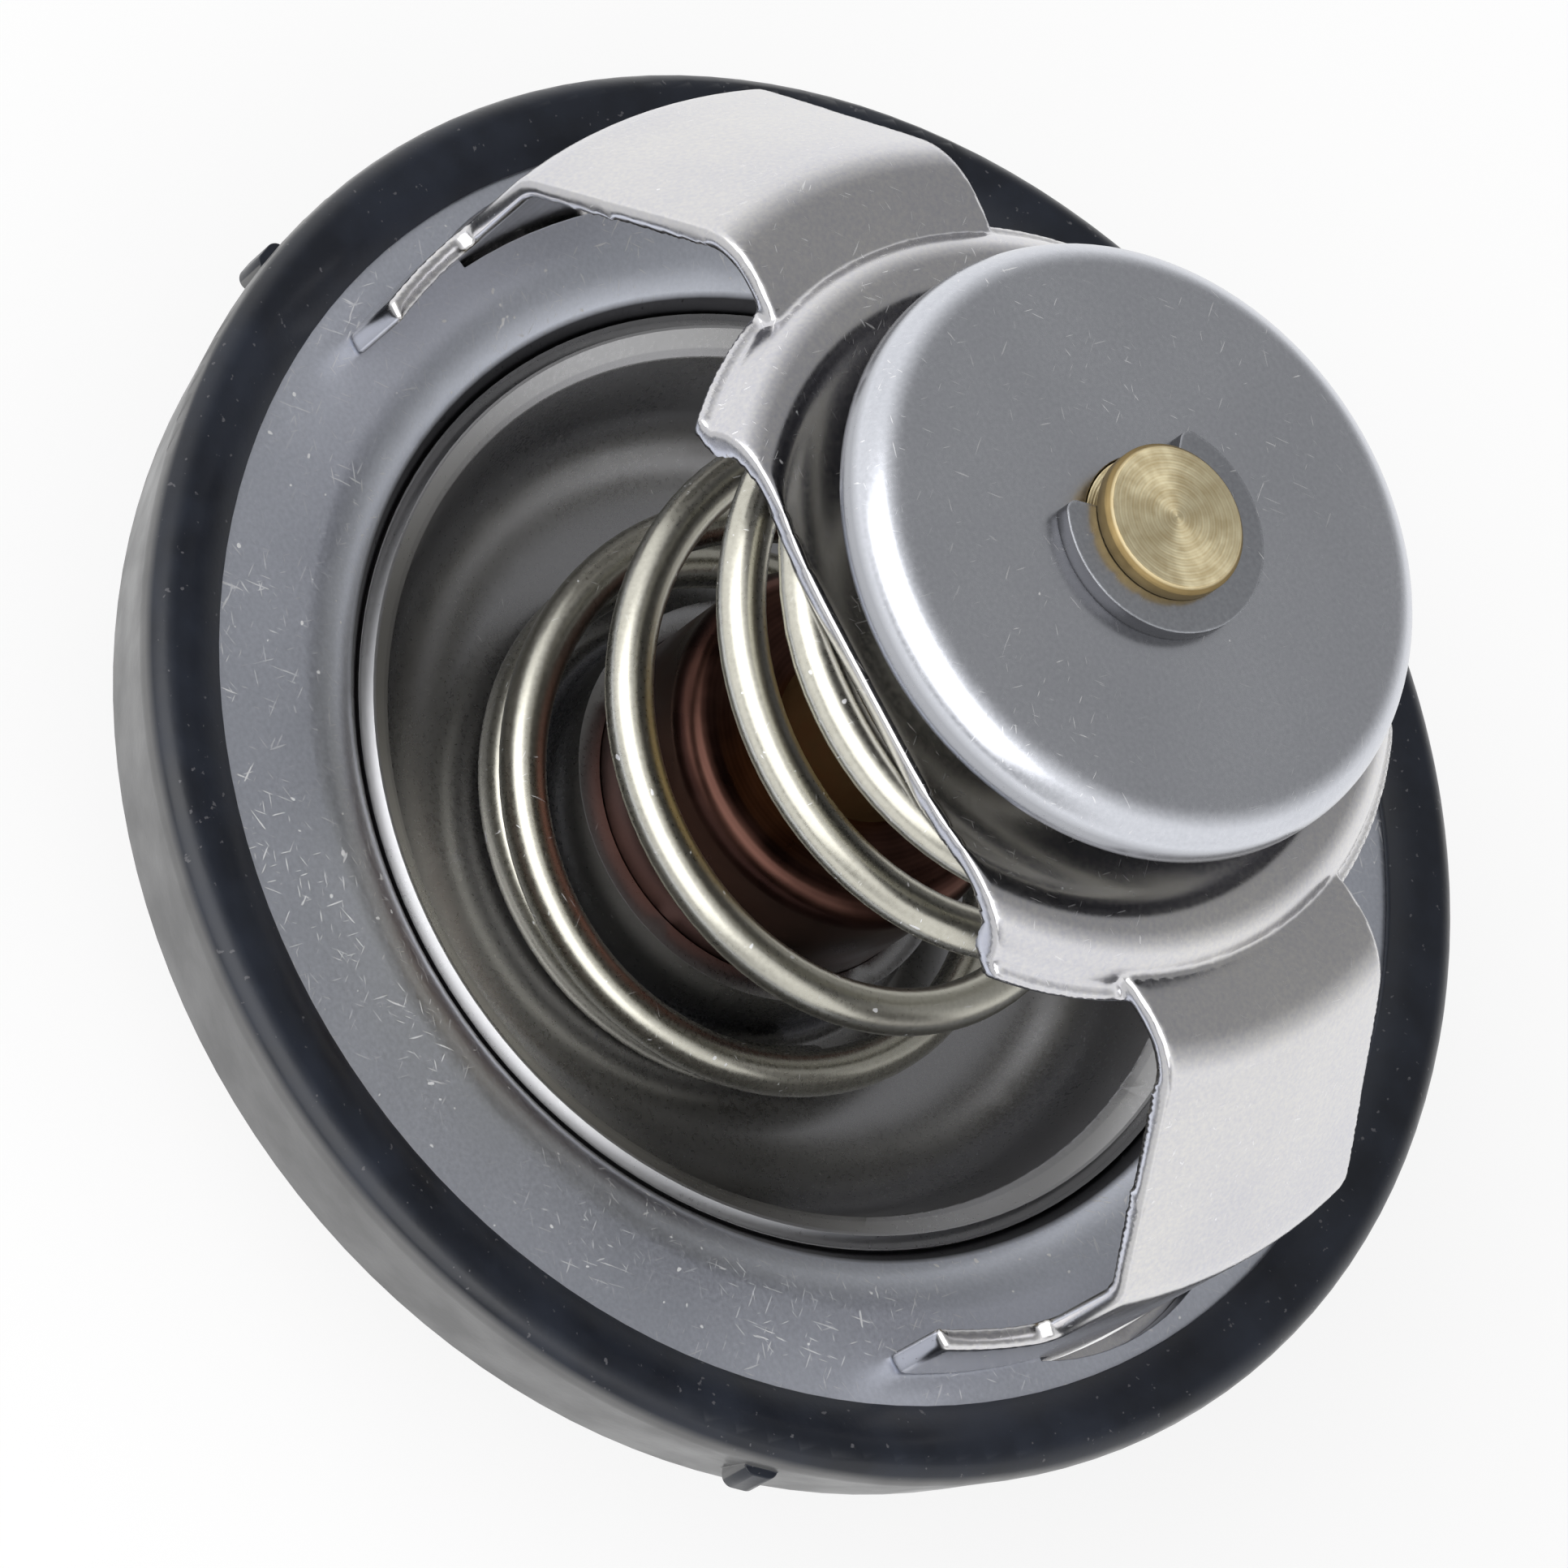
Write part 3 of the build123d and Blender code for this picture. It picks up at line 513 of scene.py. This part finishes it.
def mainCoil(turn, spring):
    bottom = spring["foot"] + spring["wire"] / 2
    top = spring["head"] - spring["wire"] / 2
    footRise = (spring["wire"] + spring["gap"]) * spring["footTurns"]
    if turn < spring["footTurns"]:
        height = bottom + footRise * turn / spring["footTurns"]
    else:
        share = (turn - spring["footTurns"]) / (spring["turns"] - spring["footTurns"] - spring["headTurns"])
        height = bottom + footRise + (top - bottom - footRise) * min(share, 1)
    draw = min(turn / spring["footDraw"], (spring["turns"] - turn) / spring["headDraw"], 1)
    return spring["endRadius"] + (spring["radius"] - spring["endRadius"]) * draw, height


def bypassCoil(turn, spring):
    share = (turn - spring["flatTurns"]) / (spring["turns"] - 2 * spring["flatTurns"])
    bottom = spring["foot"] + spring["wire"] / 2
    top = spring["head"] - spring["wire"] / 2
    growth = (spring["headRadius"] - spring["footRadius"]) * turn / spring["turns"]
    return spring["footRadius"] + growth, bottom + (top - bottom) * min(max(share, 0), 1)


def coiledWire(name, spring, coil):
    deselectAll()
    bpy.ops.curve.primitive_nurbs_path_add(radius=mm)
    wire = bpy.context.object
    wire.name = name
    curve = wire.data
    curve.splines.clear()
    count = round(spring["turns"] * wireMesh["pointsPerTurn"]) + 1
    spline = curve.splines.new("NURBS")
    spline.points.add(count - 1)
    for index in range(count):
        turn = spring["turns"] * index / (count - 1)
        radius, height = coil(turn, spring)
        angle = radians(spring["start"]) - fullTurn * turn
        spline.points[index].co = (radius * cos(angle) * mm, radius * sin(angle) * mm, height * mm, 1)
    spline.order_u = 4
    spline.use_endpoint_u = True
    spline.resolution_u = wireMesh["stepsPerPoint"]
    curve.dimensions = "3D"
    curve.bevel_depth = spring["wire"] / 2 * mm
    curve.bevel_resolution = wireMesh["roundness"]
    curve.use_fill_caps = True
    bpy.ops.object.convert(target="MESH")
    wire = bpy.context.object
    wire.data.name = name
    tidyMesh(wire, wireMesh["merge"])
    smoothPiece(wire, wireMesh["smoothAngle"])
    return wire


# both stand on the valve; the main spring pushes on the frame, the other on the bypass disc
springLook = {**steel, "dark": (0.52, 0.505, 0.435), "light": (0.69, 0.675, 0.595), "roughness": (0.24, 0.34),
              "fleckLimit": 0.76, "scratchLimit": 0.76, "grainBump": 0.005, "markBump": 0.03, "seed": 9.4}
springSteel = steelMaterial("springSteel", springLook)
for node, spring, coil, foot, head in (("main_spring", mainSpring, mainCoil, "valve", "root"),
                                       ("bypass_spring", bypassSpring, bypassCoil, "valve", "bypass")):
    wire = coiledWire(node + ".wire", spring, coil)
    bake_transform(wire)
    dress(wire, springSteel, None, "spring_steel", node)  # not attached to a body here
print("springs coiled")

# pale floor that keeps the shadow; its size is in metres, its drop under the part in mm
stage = {"floorSize": 3.0, "floorDrop": 0.3, "paper": 0.3, "floorGlow": 0.72}
deselectAll()
bpy.ops.mesh.primitive_grid_add(x_subdivisions=4, y_subdivisions=4, size=stage["floorSize"],
                                location=(0, 0, cadBox[0][2] - stage["floorDrop"] * mm))
floor = bpy.context.object
floor.name = "floor"
floorMaterial, tree, shader, _ = newMaterial("paperFloor")
tree.nodes.remove(shader)
paper = tree.nodes.new("ShaderNodeBsdfDiffuse")
paper.inputs["Color"].default_value = (stage["paper"], stage["paper"], stage["paper"], 1)
glow = tree.nodes.new("ShaderNodeEmission")
rays = tree.nodes.new("ShaderNodeLightPath")
seen = mathNode(tree, "MAXIMUM", rays.outputs["Is Camera Ray"], rays.outputs["Is Glossy Ray"])
seen = mathNode(tree, "MAXIMUM", seen, rays.outputs["Is Transmission Ray"])
tree.links.new(mathNode(tree, "MULTIPLY", seen, stage["floorGlow"]), glow.inputs["Strength"])
both = tree.nodes.new("ShaderNodeAddShader")
tree.links.new(paper.outputs["BSDF"], both.inputs[0])
tree.links.new(glow.outputs["Emission"], both.inputs[1])
tree.links.new(both.outputs["Shader"], tree.nodes["Material Output"].inputs["Surface"])
floor.data.materials.append(floorMaterial)

# white room, darker overhead at the back and straight ahead; a lobe's start and end are cosines to its side
room = {"white": 1.0, "backSide": (-0.1, 0.6, 0.79), "backStart": 0.4, "backEnd": 0.86, "backLevel": 0.31,
        "frontSide": (0.3, -0.94, 0.1), "frontStart": 0.55, "frontEnd": 0.9, "frontLevel": 0.4}
world = bpy.data.worlds.new("studio")
bpy.context.scene.world = world
world.use_nodes = True
tree = world.node_tree
sky = tree.nodes["Background"]
outwards = tree.nodes.new("ShaderNodeTexCoord").outputs["Generated"]


def roomLobe(side, start, end, centre, edge):
    towards = tree.nodes.new("ShaderNodeVectorMath")
    towards.operation = "DOT_PRODUCT"
    towards.inputs[1].default_value = side
    tree.links.new(outwards, towards.inputs[0])
    return spread(tree, towards.outputs["Value"], start, end, edge, centre)


backLobe = roomLobe(room["backSide"], room["backStart"], room["backEnd"], room["backLevel"], room["white"])
frontLobe = roomLobe(room["frontSide"], room["frontStart"], room["frontEnd"], room["frontLevel"], 1)
level = mathNode(tree, "MULTIPLY", backLobe, frontLobe)
tree.links.new(level, sky.inputs["Strength"])
sky.inputs["Color"].default_value = (1, 1, 1, 1)

# one large soft lamp in front; lengths in metres, power in watts
keyLamp = {"place": (-0.05, -0.62, 0.5), "target": (0, 0, 0.01), "size": (1.4, 0.8), "power": 6.0}
lamp = bpy.data.lights.new("keyLamp", "AREA")
lamp.shape = "RECTANGLE"
lamp.size, lamp.size_y = keyLamp["size"]
lamp.energy = keyLamp["power"]
lampHolder = bpy.data.objects.new("keyLamp", lamp)
bpy.context.scene.collection.objects.link(lampHolder)
lampHolder.location = keyLamp["place"]
lampAim = Vector(keyLamp["target"]) - Vector(keyLamp["place"])
lampHolder.rotation_euler = lampAim.to_track_quat("-Z", "Y").to_euler()
print("room lit")

# camera; mm and unit vectors, then turned about the object's axis
cameraLook = {"place": (25.48, -194.53, 264.04), "right": (0.4763, 0.7321, 0.4869),
              "up": (-0.8758, 0.3464, 0.3359), "turn": 0.6, "focalPixels": 9460.9, "framePixels": 1932,
              "sensorWidth": 36, "nearest": 0.01, "farthest": 10}
camera = bpy.data.cameras.new("camera")
camera.sensor_width = cameraLook["sensorWidth"]
camera.lens = camera.sensor_width * cameraLook["focalPixels"] / cameraLook["framePixels"]
camera.clip_start = cameraLook["nearest"]
camera.clip_end = cameraLook["farthest"]
cameraHolder = bpy.data.objects.new("camera", camera)
bpy.context.scene.collection.objects.link(cameraHolder)
right = Vector(cameraLook["right"]).normalized()
away = right.cross(Vector(cameraLook["up"])).normalized()
aim = Matrix((right, away.cross(right), away)).transposed().to_4x4()
aim.translation = Vector(cameraLook["place"]) * mm
cameraHolder.matrix_world = Matrix.Rotation(radians(cameraLook["turn"]), 4, "Z") @ aim
bpy.context.scene.camera = cameraHolder
bpy.context.scene.view_settings.view_transform = "Standard"
